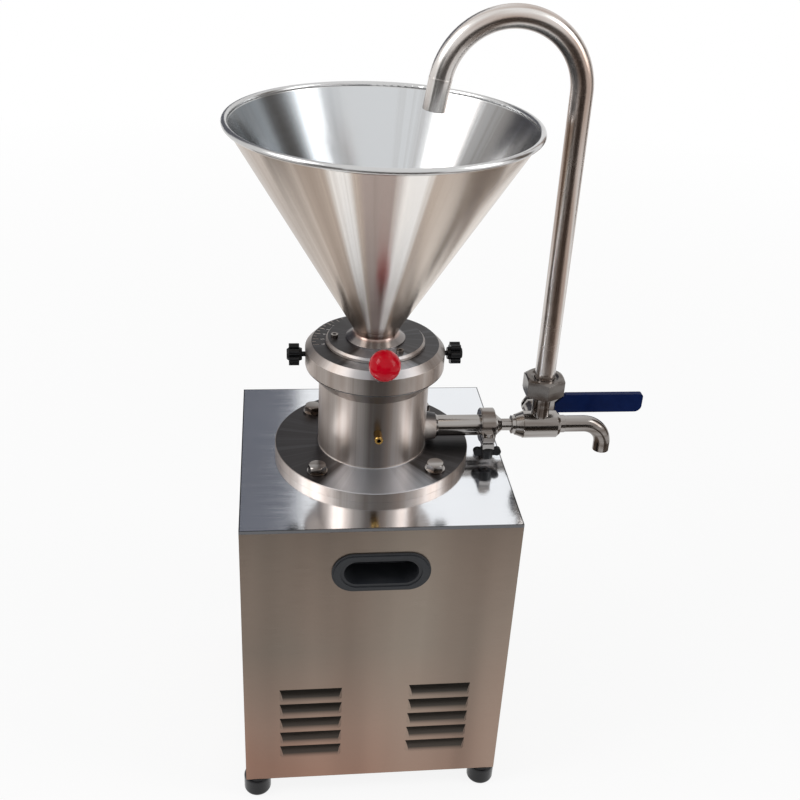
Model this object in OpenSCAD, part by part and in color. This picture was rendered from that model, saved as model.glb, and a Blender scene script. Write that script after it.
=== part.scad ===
// Vertical colloid mill on a square stainless cabinet, with a recirculation pipe and a three-way valve.
// Millimetres, +Z up, the feet stand on z = 0, the origin is the middle of the bottom of the whole box.

/* [Cabinet] */
// outside width of the cabinet
cab_w = 320; // [300:1:380]
// outside depth of the cabinet
cab_d = 320; // [300:1:332]
// height of the cabinet with its top plate
cab_h = 391; // [380:1:460]
// sheet thickness of the panels
sheet = 1.5; // [1:0.1:3]
// thickness of the top plate
plate_t = 4; // [3:0.5:8]
// how far the mill stands behind the middle of the cabinet
mill_back = 8; // [0:1:10]
// leg width of the angle frame
angle_w = 20; // [16:1:30]
// thickness of the angle frame
angle_t = 3; // [2:0.5:4]
// diameter of a foot
foot_d = 34; // [24:1:38]
// height of a foot
foot_h = 30; // [20:1:50]
// distance of a foot centre from the cabinet side
foot_in = 14; // [12:1:24]

/* [Panel openings] */
// width of one louvre
louvre_w = 76; // [50:1:100]
// height of one louvre hood
louvre_h = 16; // [10:1:18]
// how far a louvre hood stands out
louvre_out = 3.9; // [2:0.1:4]
// distance between louvres
louvre_pitch = 23.8; // [20:0.2:30]
// number of louvres in a group
louvre_n = 5; // [2:1:6]
// sideways distance of a louvre group from the middle
louvre_x = 79; // [60:1:90]
// height of the lowest louvre above the cabinet bottom
louvre_z = 49; // [30:1:70]
// outside width of the carrying handle rim
handle_w = 114; // [90:1:140]
// outside height of the carrying handle rim
handle_h = 52; // [44:1:60]
// width of the flat handle rim
handle_rim = 10; // [6:0.5:12]
// depth of the handle cup behind the panel
handle_deep = 38; // [20:1:50]
// distance from the cabinet top down to the handle middle
handle_down = 61; // [50:1:110]

/* [Mill body] */
// radius of the round flange
flange_r = 119; // [108:1:130]
// thickness of the round flange
flange_t = 12; // [8:1:18]
// radius of the bolt circle
bolt_ring = 99; // [92:1:100]
// outside radius of the mill body
body_r = 66; // [64:0.5:70]
// height of the straight part of the body
body_h = 89; // [86:1:110]
// height of the cone under the adjusting disc
head_h = 18.5; // [16:0.5:26]
// height of the outlet above the flange
outlet_up = 19; // [18:0.5:24]
// height of the drain nozzle above the flange
nozzle_up = 49; // [44:1:60]
// how far the drain nozzle stands out of the body
nozzle_len = 17; // [12:1:30]

/* [Adjusting head] */
// radius of the adjusting disc
disc_r = 82.7; // [80:0.1:90]
// height of the straight side of the disc
disc_side = 21; // [18:0.5:26]
// height of the bevel on the disc
disc_bevel = 7.5; // [3:0.5:8]
// radius of the hub plate
hub_r = 58.5; // [55:0.5:60]
// height of the hub plate above the disc
hub_h = 6; // [4:0.5:10]
// diameter of the ball knob
ball_d = 35; // [25:1:45]
// distance from the disc to the ball centre along the rod
rod_len = 39; // [30:0.2:60]
// diameter of a star knob over its lobes
star_d = 27; // [24:1:36]
// height of the star knobs above the underside of the disc
knob_up = 12.5; // [9:0.5:14]

/* [Hopper] */
// outside radius of the rolled rim
rim_r = 172; // [168:0.5:190]
// radius of the rolled bead
bead_r = 3.5; // [2:0.1:5]
// height of the cone
cone_h = 237; // [180:1:300]
// outside radius of the neck
neck_r = 28.5; // [25:0.5:30]
// height of the neck with its foot ring
neck_h = 16; // [14:0.5:30]
// radius of the foot ring
foot_ring = 35; // [33:0.5:40]
// sideways wall thickness of the hopper
hop_wall = 2.3; // [1.5:0.1:4]

/* [Grinding set] */
// number of teeth on the rotor and on the stator
teeth = 24; // [12:1:30]
// depth of the grooves between teeth
tooth_deep = 3.5; // [2:0.1:5]
// width of the grooves between teeth
tooth_gap = 3; // [2:0.1:4]
// slant of the grooves in degrees
tooth_slant = 9; // [0:1:15]
// radius of the rotor at its lower edge
rotor_r = 41; // [39:0.2:41.4]
// how much narrower the rotor is at its top
rotor_taper = 9; // [6:0.5:11]

/* [Outlet and valve] */
// outside diameter of the outlet pipe
pipe_d = 26; // [22:0.5:26]
// outside radius of the pipe clamp
clamp_r = 21.5; // [20.5:0.5:25]
// width of the pipe clamp
clamp_w = 17.5; // [16:0.5:22]
// distance of the clamp middle from the mill axis
clamp_x = 143.3; // [138:0.1:150]
// distance of the valve middle from the mill axis
valve_x = 210; // [205:1:225]
// radius of the valve barrel
barrel_r = 17; // [16.5:0.5:20]
// length of the valve barrel
barrel_len = 50; // [46:1:56]
// height of the union nut above the valve axis
nut_up = 46; // [42:1:56]
// height of the union nut
nut_h = 23; // [20:1:30]
// width of the union nut across flats
nut_af = 46; // [44:1:60]
// distance of the lever from the valve axis
lever_back = 49; // [46:0.5:60]
// length of the lever from its stem to its tip
lever_len = 148; // [120:1:170]
// distance from the stem to the start of the lever grip
grip_start = 32; // [28:1:40]
// height of the lever grip
grip_h = 26; // [20:1:32]
// thickness of the lever grip
grip_t = 7.6; // [6:0.2:10]
// outside diameter of the spout
spout_d = 20.7; // [16:0.1:22]
// straight start of the spout
spout_run = 25; // [12:0.5:30]
// bend radius of the spout
spout_bend = 28; // [24:0.5:40]
// straight end of the spout
spout_end = 10; // [4:0.5:30]

/* [Recirculation pipe] */
// outside diameter of the recirculation pipe
loop_d = 25; // [22:0.5:25.6]
// bend radius of the arch
loop_bend = 77; // [60:1:90]
// height of the arch centre above the valve axis
loop_up = 411; // [400:1:460]
// turn of the arch in degrees
loop_turn = 171; // [150:1:180]
// straight tail of the pipe over the hopper
loop_tail = 33; // [10:1:34]

/* [Drive] */
// radius of the motor housing without fins
motor_r = 78; // [76:1:84]
// radius over the motor fins
fin_r = 88; // [86:1:92]
// number of motor fins
fin_n = 24; // [12:1:30]

/* [Fits] */
// clearance of curved seats between fixed pieces
fit_gap = 0.3; // [0.2:0.05:0.4]
// clearance between pieces that move
run_gap = 0.4; // [0.3:0.05:0.6]

/* [Hidden] */
$fn = 96;
z0 = foot_h;
zt = z0 + cab_h;
zp = zt - plate_t;
zf = zt + flange_t;
z_cone = zf + body_h;
z_disc = z_cone + head_h;
z_side = z_disc + disc_side;
z_dtop = z_side + disc_bevel;
z_hub0 = z_dtop + run_gap;
z_hub = z_dtop + hub_h;
z_seat = z_hub;
z_neck = z_seat + neck_h;
z_rim = z_neck + cone_h;
zo = zf + outlet_up;
cy = -mill_back;
lever_tip = valve_x + lever_len;
mill_x = -(lever_tip - rim_r) / 2;
louvre_r = (louvre_h * louvre_h + louvre_out * louvre_out) / (2 * louvre_out);
in_w = cab_w / 2 - sheet;
in_d = cab_d / 2 - sheet;
plate_in = zt + 16;
z_rot = zf + 45;
z_rtop = z_rot + 42;
bore_r = 56;
carrier_r = bore_r - run_gap;
sleeve_r = 53;
neck_thread = 70;
bolt_r = 6;
screw_ring = 48.5;
spigot_r = 24;
feed_r = 21.5;
shaft_r = 12.2;
z_bear = zp - 35;
z_shield = zp - 15;
z_low = z_shield - 239;
z_nut = zo + nut_up;
branch_r = 11;
thread_r = nut_af / 2 - 4.2;
port_r = 7.5;
ball_v = 13;
cup_w = handle_w - 2 * handle_rim - 8;
cup_h = handle_h - 2 * handle_rim;
cup_wall = 2.5;
rod_at = [0, -(disc_r - disc_bevel / 2), z_side + disc_bevel / 2];
gasket_t = 2;
ferrule_r = 16.5;
ferrule_t = 3;
wing_x = clamp_x - 5;
wing_y = -39;
gland_z = z0 + 45;
switch_y = -60;
switch_z = zt - 90;

// moves a piece from the mill axis to its place in the shared frame
module place() { translate([mill_x, 0, 0]) children(); }

// a cylinder along +X that starts at x
module rod_x(x, r, l) { translate([x, 0, 0]) rotate([0, 90, 0]) cylinder(r = r, h = l); }

// a cone along +X that starts at x
module cone_x(x, ra, rb, l) { translate([x, 0, 0]) rotate([0, 90, 0]) cylinder(r1 = ra, r2 = rb, h = l); }

// a cylinder along +Y that starts at y
module rod_y(y, r, l) { translate([0, y, 0]) rotate([-90, 0, 0]) cylinder(r = r, h = l); }

// a straight hexagon bar
module hex(af, h) { cylinder(r = af / 2 / cos(30), h = h, $fn = 6); }

// a block with half-round ends, lying in the xz plane and running along +Y
module stadium_y(w, h, y, l) {
  translate([-(w - h) / 2, y, -h / 2]) cube([w - h, l, h]);
  for (s = [-1, 1])
    translate([s * (w - h) / 2, 0, 0]) rod_y(y, h / 2, l);
}

// the four corners of the bolt square
module at_bolts() {
  for (a = [45, 135, 225, 315])
    rotate([0, 0, a]) translate([bolt_ring, 0, 0]) children();
}

// a square ring of one wall
module wall_ring(w, d, t, z, h) {
  translate([0, cy, z]) difference() {
    translate([-w / 2, -d / 2, 0]) cube([w, d, h]);
    translate([-w / 2 + t, -d / 2 + t, -1]) cube([w - 2 * t, d - 2 * t, h + 2]);
  }
}

module base_frame() {
  color("dimgray") place() difference() {
    union() {
      wall_ring(2 * in_w, 2 * in_d, angle_t, z0, angle_w);
      wall_ring(2 * in_w, 2 * in_d, angle_w, z0, angle_t);
      wall_ring(2 * in_w, 2 * in_d, angle_t, zp - angle_w, angle_w);
      wall_ring(2 * in_w, 2 * in_d, angle_w, zp - angle_t, angle_t);
      for (sx = [-1, 1], sy = [-1, 1]) translate([sx * in_w, cy + sy * in_d, 0]) {
        translate([sx > 0 ? -angle_w : 0, sy > 0 ? -angle_t : 0, z0]) cube([angle_w, angle_t, zp - z0]);
        translate([sx > 0 ? -angle_t : 0, sy > 0 ? -angle_w : 0, z0]) cube([angle_t, angle_w, zp - z0]);
      }
    }
    at_screws() rod_y(-12, 2 + fit_gap, 24);
  }
}

// a louvre's round back with slanted ends, set in by a wall, from z up to its top and back to y
module louvre_form(wall, z, y) {
  w = louvre_w / 2 - wall;
  out = louvre_out - wall;
  intersection() {
    translate([0, louvre_r - louvre_out, -louvre_h / 2]) rod_x(-louvre_w, louvre_r - wall, 2 * louvre_w);
    translate([0, 0, z]) linear_extrude(louvre_h / 2 - z)
      polygon([[-w, y], [-w, 0], [out - w, -out], [w - out, -out], [w, 0], [w, y]]);
  }
}

// one louvre hood as it stands out of the front panel
module louvre_hood() { louvre_form(0, -louvre_h / 2, sheet / 2); }

// the room inside one louvre hood, open below and behind
module louvre_room() {
  w = louvre_w - 2 * louvre_out;
  louvre_form(1.2, -louvre_h / 2 - 1, 0.01);
  translate([-w / 2, -0.4, -louvre_h / 2]) cube([w, sheet + 2, louvre_h - 4]);
}

// the places of all louvres on one panel
module at_louvres() {
  for (sx = [-1, 1], i = [0 : louvre_n - 1])
    translate([sx * louvre_x, 0, z0 + louvre_z + i * louvre_pitch]) children();
}

module front_panel() {
  color("silver") place() translate([0, cy - cab_d / 2, 0]) difference() {
    union() {
      translate([-cab_w / 2, 0, z0]) cube([cab_w, sheet, zp - z0]);
      at_louvres() louvre_hood();
    }
    at_louvres() louvre_room();
    translate([0, 0, zt - handle_down])
      stadium_y(cup_w + 2 * cup_wall + 1, cup_h + 2 * cup_wall + 1, -1, sheet + 2);
  }
}

// a flat side panel between the front and back panels
module side_panel(s) {
  translate([s > 0 ? cab_w / 2 - sheet : -cab_w / 2, cy - in_d, z0]) cube([sheet, 2 * in_d, zp - z0]);
}

module left_panel() { color("silver") place() side_panel(-1); }

module right_panel() {
  color("silver") place() difference() {
    side_panel(1);
    translate([cab_w / 2 - 10, switch_y - 22, switch_z - 22]) cube([20, 44, 44]);
  }
}

// the places of the screws that hold the back panel
module at_screws() {
  for (sx = [-1, 1], z = [z0 + 40, (z0 + zp) / 2, zp - 40])
    translate([sx * (cab_w / 2 - 10), cy + cab_d / 2, z]) children();
}

module back_panel() {
  color("silver") place() difference() {
    union() {
      translate([-cab_w / 2, cy + in_d, z0]) cube([cab_w, sheet, zp - z0]);
      translate([0, cy + cab_d / 2, 0]) mirror([0, 1, 0]) at_louvres() louvre_hood();
    }
    translate([0, cy + cab_d / 2, 0]) mirror([0, 1, 0]) at_louvres() louvre_room();
    at_screws() rod_y(-12, 2 + fit_gap, 24);
    translate([0, cy + cab_d / 2, gland_z]) rod_y(-10, 8 + fit_gap, 20);
  }
}

module top_plate() {
  color("lightgray") place() difference() {
    translate([-cab_w / 2, cy - cab_d / 2, zp]) cube([cab_w, cab_d, plate_t]);
    translate([0, 0, zp - 1]) cylinder(r = 60, h = plate_t + 2);
    at_bolts() translate([0, 0, zp - 1]) cylinder(r = bolt_r + run_gap, h = plate_t + 2);
  }
}

module rubber_feet() {
  e = 6;
  color("black") place()
    for (sx = [-1, 1], sy = [-1, 1])
      translate([sx * (cab_w / 2 - foot_in), cy + sy * (cab_d / 2 - foot_in), 0]) rotate_extrude() {
        square([foot_d / 2 - e, foot_h]);
        translate([0, e]) square([foot_d / 2, foot_h - 2 * e]);
        for (z = [e, foot_h - e])
          translate([foot_d / 2 - e, z]) intersection() {
            circle(r = e, $fn = 48);
            translate([-e / 2, -e]) square([2 * e, 2 * e]);
          }
      }
}

module front_handle() {
  color("dimgray") place() translate([0, cy - cab_d / 2, zt - handle_down]) difference() {
    union() {
      stadium_y(handle_w, handle_h, -2, 2);
      stadium_y(handle_w - 5, handle_h - 5, -3.2, 2);
      stadium_y(cup_w + 2 * cup_wall, cup_h + 2 * cup_wall, -1, handle_deep + 1);
    }
    stadium_y(cup_w, cup_h, -5, handle_deep + 5 - cup_wall);
    stadium_y(cup_w + 8, cup_h + 8, -5, 3);
  }
}

module panel_screws() {
  color("silver") place() at_screws() {
    rod_y(0, 4, 2.4);
    rod_y(-8, 2, 8.5);
  }
}

module cable_gland() {
  color("black") place() translate([0, cy + cab_d / 2, gland_z]) difference() {
    union() {
      rotate([-90, 0, 0]) hex(22, 5);
      rod_y(-8, 8, 9);
      rod_y(4, 10, 5);
      translate([0, 9, 0]) rotate([-90, 0, 0]) cylinder(r1 = 10, r2 = 6.5, h = 6);
      rotate([90, 0, 0]) translate([0, 0, sheet]) hex(22, 4);
    }
    rod_y(-12, 4, 40);
  }
}

module switch_base() {
  color("dimgray") place() translate([cab_w / 2, switch_y, switch_z]) difference() {
    union() {
      translate([0, -30, -30]) cube([5, 60, 60]);
      translate([-36, -21, -21]) cube([38, 42, 42]);
    }
    rod_x(-6, 4 + run_gap, 20);
  }
}

module switch_knob() {
  color("black") place() translate([cab_w / 2, switch_y, switch_z]) {
    rod_x(-5, 4, 12);
    rod_x(5 + run_gap, 17, 6);
    translate([5, -4.5, -16]) cube([17, 9, 32]);
  }
}

module motor_frame() {
  zb = z_low + 50;
  color("slategray") place() difference() {
    union() {
      translate([0, 0, z_low]) cylinder(r = motor_r, h = z_shield - z_low);
      for (i = [0 : fin_n - 1])
        rotate([0, 0, (i + 0.5) * 360 / fin_n]) translate([motor_r - 2, -1.25, z_low])
          cube([fin_r - motor_r + 2, 2.5, z_shield - z_low - 3]);
      translate([-40, motor_r - 12, zb]) cube([80, fin_r + 16 - motor_r, 92]);
    }
    translate([0, 0, z_low + 58]) cylinder(r = motor_r - 8, h = 300);
    translate([0, 0, z_low - 1]) cylinder(r = motor_r - 8, h = 53);
    translate([0, 0, z_low + 40]) cylinder(r = motor_r - 11, h = 40);
  }
}

module motor_top_shield() {
  color("slategray") place() difference() {
    rotate_extrude() polygon([[shaft_r + 1, zp], [flange_r - 1, zp], [flange_r - 1, z_shield],
      [motor_r - 8 - fit_gap, z_shield], [motor_r - 8 - fit_gap, z_shield - 8], [36, z_shield - 8],
      [36, z_bear - 1], [26 + fit_gap, z_bear - 1], [26 + fit_gap, z_bear + 15],
        [shaft_r + 1, z_bear + 15]]);
    at_bolts() translate([0, 0, z_shield - 1]) cylinder(r = bolt_r + run_gap, h = zp - z_shield + 2);
  }
}

module motor_low_shield() {
  color("slategray") place() rotate_extrude() polygon([[shaft_r + 1, z_low - 20], [40, z_low - 20],
    [motor_r, z_low - 8], [motor_r, z_low], [motor_r - 8 - fit_gap, z_low],
      [motor_r - 8 - fit_gap, z_low + 8],
    [38, z_low + 8], [38, z_low + 1], [26 + fit_gap, z_low + 1], [26 + fit_gap, z_low - 14],
      [shaft_r + 1, z_low - 14]]);
}

module motor_stator() {
  color("sienna") place() difference() {
    union() {
      translate([0, 0, z_low + 58]) cylinder(r = motor_r - 8 - fit_gap, h = 108);
      translate([0, 0, z_low + 34]) cylinder(r = motor_r - 13, h = 156);
    }
    translate([0, 0, z_low + 30]) cylinder(r = 46, h = 28);
    translate([0, 0, z_low + 166]) cylinder(r = 46, h = 28);
    translate([0, 0, z_low + 30]) cylinder(r = 43.8, h = 170);
  }
}

module motor_rotor() {
  color("gray") place() translate([0, 0, z_low + 58]) difference() {
    cylinder(r = 43, h = 108);
    translate([0, 0, -1]) cylinder(r = 15 + fit_gap, h = 110);
  }
}

module shaft() {
  color("lightgray") place() rotate_extrude() polygon([[0, z_low - 62], [9.4, z_low - 62], [10, z_low - 61],
    [10, z_low - 22], [shaft_r, z_low - 22], [shaft_r, z_low + 1], [15, z_low + 1], [15, z_low + 50],
    [18, z_low + 50], [18, z_low + 58], [15, z_low + 58], [15, z_bear], [shaft_r, z_bear],
    [shaft_r, z_rot - 2], [10.7, z_rot - 2], [10.7, z_rtop - 1], [8, z_rtop - 1], [8, z_rtop + 9],
      [0, z_rtop + 9]]);
}

// the lower ends of the two bearings
module at_bearings() {
  for (z = [z_low - 14, z_bear]) translate([0, 0, z]) children();
}

module bearing_outer() {
  color("silver") place() at_bearings() difference() {
    cylinder(r = 26, h = 15);
    translate([0, 0, -1]) cylinder(r = 18.4, h = 17);
  }
}

module bearing_inner() {
  color("silver") place() at_bearings() difference() {
    cylinder(r = 18, h = 15);
    translate([0, 0, -1]) cylinder(r = shaft_r + fit_gap, h = 17);
  }
}

module fan() {
  color("black") place() translate([0, 0, z_low - 48]) difference() {
    union() {
      cylinder(r = 16, h = 26);
      translate([0, 0, 14]) cylinder(r = 66, h = 3);
      for (i = [0 : 7]) rotate([0, 0, i * 45]) translate([10, -1.25, 0]) cube([54, 2.5, 15]);
    }
    translate([0, 0, -1]) cylinder(r = 10 + fit_gap, h = 30);
  }
}

module fan_cowl() {
  color("slategray") place() translate([0, 0, z_low - 76]) difference() {
    cylinder(r = 84, h = 76);
    translate([0, 0, 1.5]) cylinder(r = 82.5, h = 80);
    for (i = [0 : 11]) rotate([0, 0, i * 30]) translate([22, -3, -1]) cube([40, 6, 4]);
  }
}

module terminal_box() {
  zb = z_low + 50;
  color("slategray") place() translate([0, fin_r + 4, zb]) difference() {
    union() {
      translate([-38, 0, 2]) cube([76, 26, 88]);
      translate([-40, 26, 0]) cube([80, 5, 92]);
    }
    translate([-34, -1, 6]) cube([68, 25, 80]);
  }
}

module mill_body() {
  boss_r = pipe_d / 2 + 3;
  color("silver") place() difference() {
    union() {
      rotate_extrude() polygon([[20, zt], [flange_r, zt], [flange_r, zf - 0.8], [flange_r - 0.8, zf],
        [body_r + 2, zf], [body_r + 0.6, zf + 0.6], [body_r, zf + 2], [body_r, z_cone],
        [disc_r - 0.4, z_disc - 0.5], [neck_thread, z_disc - 0.5], [neck_thread, z_side - 3],
        [bore_r, z_side - 3], [bore_r, z_rot - 4], [bore_r - 2, z_rot - 4], [bore_r - 2, plate_in],
          [20, plate_in]]);
      translate([0, 0, zo]) intersection() {
        union() {
          cone_x(body_r - 6, boss_r + 4, boss_r, 18);
          rod_x(bore_r + 2, boss_r, 12);
        }
        translate([0, -60, zf - zo - 1]) cube([200, 120, 60]);
      }
    }
    translate([0, 0, zo]) rod_x(bore_r - 8, pipe_d / 2 + fit_gap, 60);
    translate([0, 0, zf + nozzle_up]) rod_y(-body_r - 1, 4 + fit_gap, body_r - bore_r + 6);
    at_bolts() translate([0, 0, zt - 1]) cylinder(r = bolt_r + run_gap, h = flange_t + 2);
  }
}

module flange_bolts() {
  color("silver") place() at_bolts() {
    translate([0, 0, zf + 2.5]) intersection() {
      hex(19, 7.5);
      cylinder(r1 = 17, r2 = 9.6, h = 7.5);
    }
    translate([0, 0, z_shield - 13]) cylinder(r = bolt_r, h = zf + 3 - z_shield + 13);
  }
}

module flange_washers() {
  color("silver") place() at_bolts() translate([0, 0, zf]) difference() {
    cylinder(r = 12, h = 2.5);
    translate([0, 0, -1]) cylinder(r = bolt_r + fit_gap, h = 5);
  }
}

module flange_nuts() {
  color("silver") place() at_bolts() translate([0, 0, z_shield - 10]) difference() {
    hex(19, 10);
    translate([0, 0, -1]) cylinder(r = bolt_r + fit_gap, h = 12);
  }
}

module seal_seat() {
  color("dimgray") place() rotate_extrude() polygon([[shaft_r + 1.2, zt + 2], [20 - fit_gap, zt + 2],
    [20 - fit_gap, plate_in], [24, plate_in], [24, plate_in + 3], [shaft_r + 1.2, plate_in + 3]]);
}

module seal_head() {
  color("dimgray") place() rotate_extrude() polygon([[shaft_r + fit_gap, plate_in + 3 + run_gap],
    [21, plate_in + 3 + run_gap], [21, plate_in + 12], [17, plate_in + 14], [17, z_rot - 2],
      [shaft_r + fit_gap, z_rot - 2]]);
}

// slanted bars that cut the grooves along the grinding cone
module tooth_bars(r, out) {
  tilt = atan(rotor_taper / (z_rtop - z_rot));
  for (i = [0 : teeth - 1])
    rotate([0, 0, i * 360 / teeth]) translate([r - rotor_taper / 2, 0, (z_rot + z_rtop) / 2])
      rotate([0, -tilt, 0]) rotate([tooth_slant, 0, 0])
        translate([out > 0 ? -4 : -tooth_deep, -tooth_gap / 2, -40]) cube([tooth_deep + 4, tooth_gap, 80]);
}

module rotor_cone() {
  color("silver") place() difference() {
    rotate_extrude() polygon([[11, z_rot - 2], [20, z_rot - 2], [20, z_rot], [rotor_r, z_rot],
      [rotor_r - rotor_taper, z_rtop], [11, z_rtop]]);
    intersection() {
      tooth_bars(rotor_r, -1);
      translate([0, 0, z_rot - 1]) cylinder(r = 60, h = z_rtop - z_rot + 2);
    }
  }
}

module rotor_nut() {
  color("silver") place() translate([0, 0, z_rtop]) difference() {
    intersection() {
      hex(27, 15);
      cylinder(r1 = 24, r2 = 8, h = 15);
    }
    translate([0, 0, -1]) cylinder(r = 8 + fit_gap, h = 11);
  }
}

module stator_ring() {
  r = rotor_r + run_gap;
  color("silver") place() difference() {
    rotate_extrude() polygon([[r, z_rot], [46, z_rot], [46, z_rtop], [r - rotor_taper, z_rtop]]);
    intersection() {
      tooth_bars(r, 1);
      translate([0, 0, z_rot - 1]) cylinder(r = r + 3, h = z_rtop - z_rot + 2);
    }
  }
}

module stator_carrier() {
  color("silver") place() difference() {
    rotate_extrude() polygon([[46 + fit_gap, z_rot], [carrier_r, z_rot], [carrier_r, z_side - 2.3],
      [sleeve_r, z_side - 2.3], [sleeve_r, z_hub0], [25, z_hub0],
        [rotor_r - rotor_taper + 1, z_rtop], [46 + fit_gap, z_rtop]]);
    at_hub_screws() translate([0, 0, z_hub0 - 20]) cylinder(r = 2.5 + fit_gap, h = 30);
  }
}

module adjust_disc() {
  color("silver") place() difference() {
    rotate_extrude() polygon([[neck_thread + 0.5, z_disc], [disc_r - 0.8, z_disc], [disc_r, z_disc + 0.8],
      [disc_r, z_side], [disc_r - disc_bevel, z_dtop], [sleeve_r + run_gap, z_dtop],
      [sleeve_r + run_gap, z_side - 2.3 + run_gap], [neck_thread + 0.5, z_side - 2.3 + run_gap]]);
    for (s = [-1, 1]) translate([s * disc_r, 0, z_disc + knob_up])
      rotate([0, s * 90, 0]) translate([0, 0, -20]) cylinder(r = 3 + run_gap, h = 30);
    translate(rod_at) rotate([45, 0, 0]) {
      translate([0, 0, -1.5]) cylinder(r = 8, h = 10);
      translate([0, 0, -9]) cylinder(r = 4 + fit_gap, h = 12);
    }
    for (i = [0 : 12]) rotate([0, 0, 114 + i * 6])
      translate([disc_r - disc_bevel - (i % 2 == 0 ? 8 : 5), -0.45, z_dtop - 0.5])
        cube([i % 2 == 0 ? 7 : 4, 0.9, 2]);
  }
}

// the places of the three hub screws
module at_hub_screws() {
  for (a = [-60, 60, 180]) rotate([0, 0, a]) translate([screw_ring, 0, 0]) children();
}

module hub_plate() {
  color("silver") place() difference() {
    rotate_extrude() polygon([[spigot_r + run_gap, z_hub0], [hub_r, z_hub0], [hub_r, z_hub - 2.4],
      [hub_r - 2.4, z_hub], [spigot_r + run_gap, z_hub]]);
    at_hub_screws() translate([0, 0, z_hub0 - 5]) cylinder(r = 2.5 + fit_gap, h = 30);
  }
}

module hub_screws() {
  color("silver") place() at_hub_screws() difference() {
    union() {
      translate([0, 0, z_hub]) cylinder(r = 4.3, h = 4);
      translate([0, 0, z_hub0 - 18]) cylinder(r = 2.5, h = z_hub - z_hub0 + 19);
    }
    translate([0, 0, z_hub + 1.6]) hex(4, 4);
  }
}

module ball_rod() {
  color("silver") place() translate(rod_at) rotate([45, 0, 0]) {
    translate([0, 0, -8]) cylinder(r = 4, h = 10);
    translate([0, 0, -1.5]) cylinder(r = 7, h = 4);
    cylinder(r = 4.5, h = rod_len - 2);
  }
}

module ball_knob() {
  color("red") place() translate(rod_at) rotate([45, 0, 0]) difference() {
    translate([0, 0, rod_len]) sphere(r = ball_d / 2);
    translate([0, 0, rod_len - ball_d]) cylinder(r = 4.5 + fit_gap, h = ball_d - 2);
    translate([0, 0, rod_len - ball_d]) cylinder(r = 12, h = ball_d / 2 + 1.6);
  }
}

// a star knob with its stud, along +Z from the face of the disc
module star_knob() {
  lobe = star_d / 7;
  core = star_d / 2 - lobe - 0.8;
  translate([0, 0, -10]) cylinder(r = 3, h = 16);
  translate([0, 0, 3.6]) cylinder(r1 = 7, r2 = core - 0.4, h = 4);
  translate([0, 0, 7]) linear_extrude(12) {
    circle(r = core);
    for (i = [0 : 6]) rotate([0, 0, i * 360 / 7]) translate([star_d / 2 - lobe, 0]) circle(r = lobe);
  }
  translate([0, 0, 18.5]) cylinder(r1 = core - 0.6, r2 = core - 3, h = 3.1);
}

module left_knob() {
  color("black") place() translate([-disc_r, 0, z_disc + knob_up]) rotate([0, -90, 0]) star_knob();
}

module right_knob() {
  color("black") place() translate([disc_r, 0, z_disc + knob_up]) rotate([0, 90, 0]) star_knob();
}

module hopper() {
  rc = rim_r - bead_r;
  color("silver") place() rotate_extrude($fn = 144) {
    polygon([[feed_r, z_hub0 + 1], [spigot_r, z_hub0 + 1], [spigot_r, z_seat], [foot_ring, z_seat],
      [foot_ring, z_seat + 1.5], [neck_r - 1.5, z_seat + 7], [neck_r - 3, z_seat + 8.5], [neck_r, z_neck],
      [rc, z_rim], [rc - hop_wall, z_rim], [neck_r - hop_wall, z_neck + 0.5], [feed_r, z_seat]]);
    translate([rc, z_rim]) circle(r = bead_r, $fn = 48);
  }
}

module drain_nozzle() {
  t = bore_r + fit_gap;
  y = body_r + fit_gap;
  e = body_r + nozzle_len;
  color("goldenrod") place() translate([0, 0, zf + nozzle_up]) rotate([90, 0, 0]) rotate_extrude()
    polygon([[2.4, t], [4, t], [4, y], [5, y], [5, e - 1], [4.4, e], [2.4, e]]);
}

module outlet_pipe() {
  x0 = bore_r + 22;
  xe = clamp_x - gasket_t / 2;
  color("silver") place() translate([0, 0, zo]) difference() {
    union() {
      rod_x(bore_r - 0.5, pipe_d / 2, xe - bore_r + 0.5);
      cone_x(x0, pipe_d / 2 + 2.2, pipe_d / 2, 3);
      rod_x(xe - ferrule_t, ferrule_r, ferrule_t);
    }
    rod_x(bore_r - 10, pipe_d / 2 - 2, 200);
  }
}

// a full clamp ring with its front lug, before it is split
module clamp_ring() {
  difference() {
    union() {
      rod_x(clamp_x - clamp_w / 2 + 1, clamp_r, clamp_w - 2);
      rod_x(clamp_x - clamp_w / 2, clamp_r - 1, clamp_w);
      translate([wing_x - 7, wing_y - 6, -8]) cube([14, -wing_y + 6 - 12, 16]);
    }
    rod_x(clamp_x - 20, pipe_d / 2 + 0.5, 40);
    rod_x(clamp_x - gasket_t / 2 - ferrule_t - run_gap, ferrule_r + 0.5, gasket_t + 2 * ferrule_t + 2 * run_gap);
    translate([wing_x, wing_y, -20]) cylinder(r = 3 + run_gap, h = 40);
  }
}

module clamp_upper() {
  color("silver") place() translate([0, 0, zo]) difference() {
    clamp_ring();
    translate([clamp_x - 40, -60, -50]) cube([80, 120, 51]);
  }
}

module clamp_lower() {
  color("silver") place() translate([0, 0, zo]) difference() {
    clamp_ring();
    translate([clamp_x - 40, -60, -1]) cube([80, 120, 51]);
  }
}

module clamp_gasket() {
  color("white") place() translate([0, 0, zo]) difference() {
    rod_x(clamp_x - gasket_t / 2, ferrule_r - 0.5, gasket_t);
    rod_x(clamp_x - 10, pipe_d / 2 - 2, 20);
  }
}

module clamp_bolt() {
  color("silver") place() translate([wing_x, wing_y, zo]) {
    translate([0, 0, 8]) cylinder(r = 5.5, h = 4);
    translate([0, 0, -22]) cylinder(r = 3, h = 31);
  }
}

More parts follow.
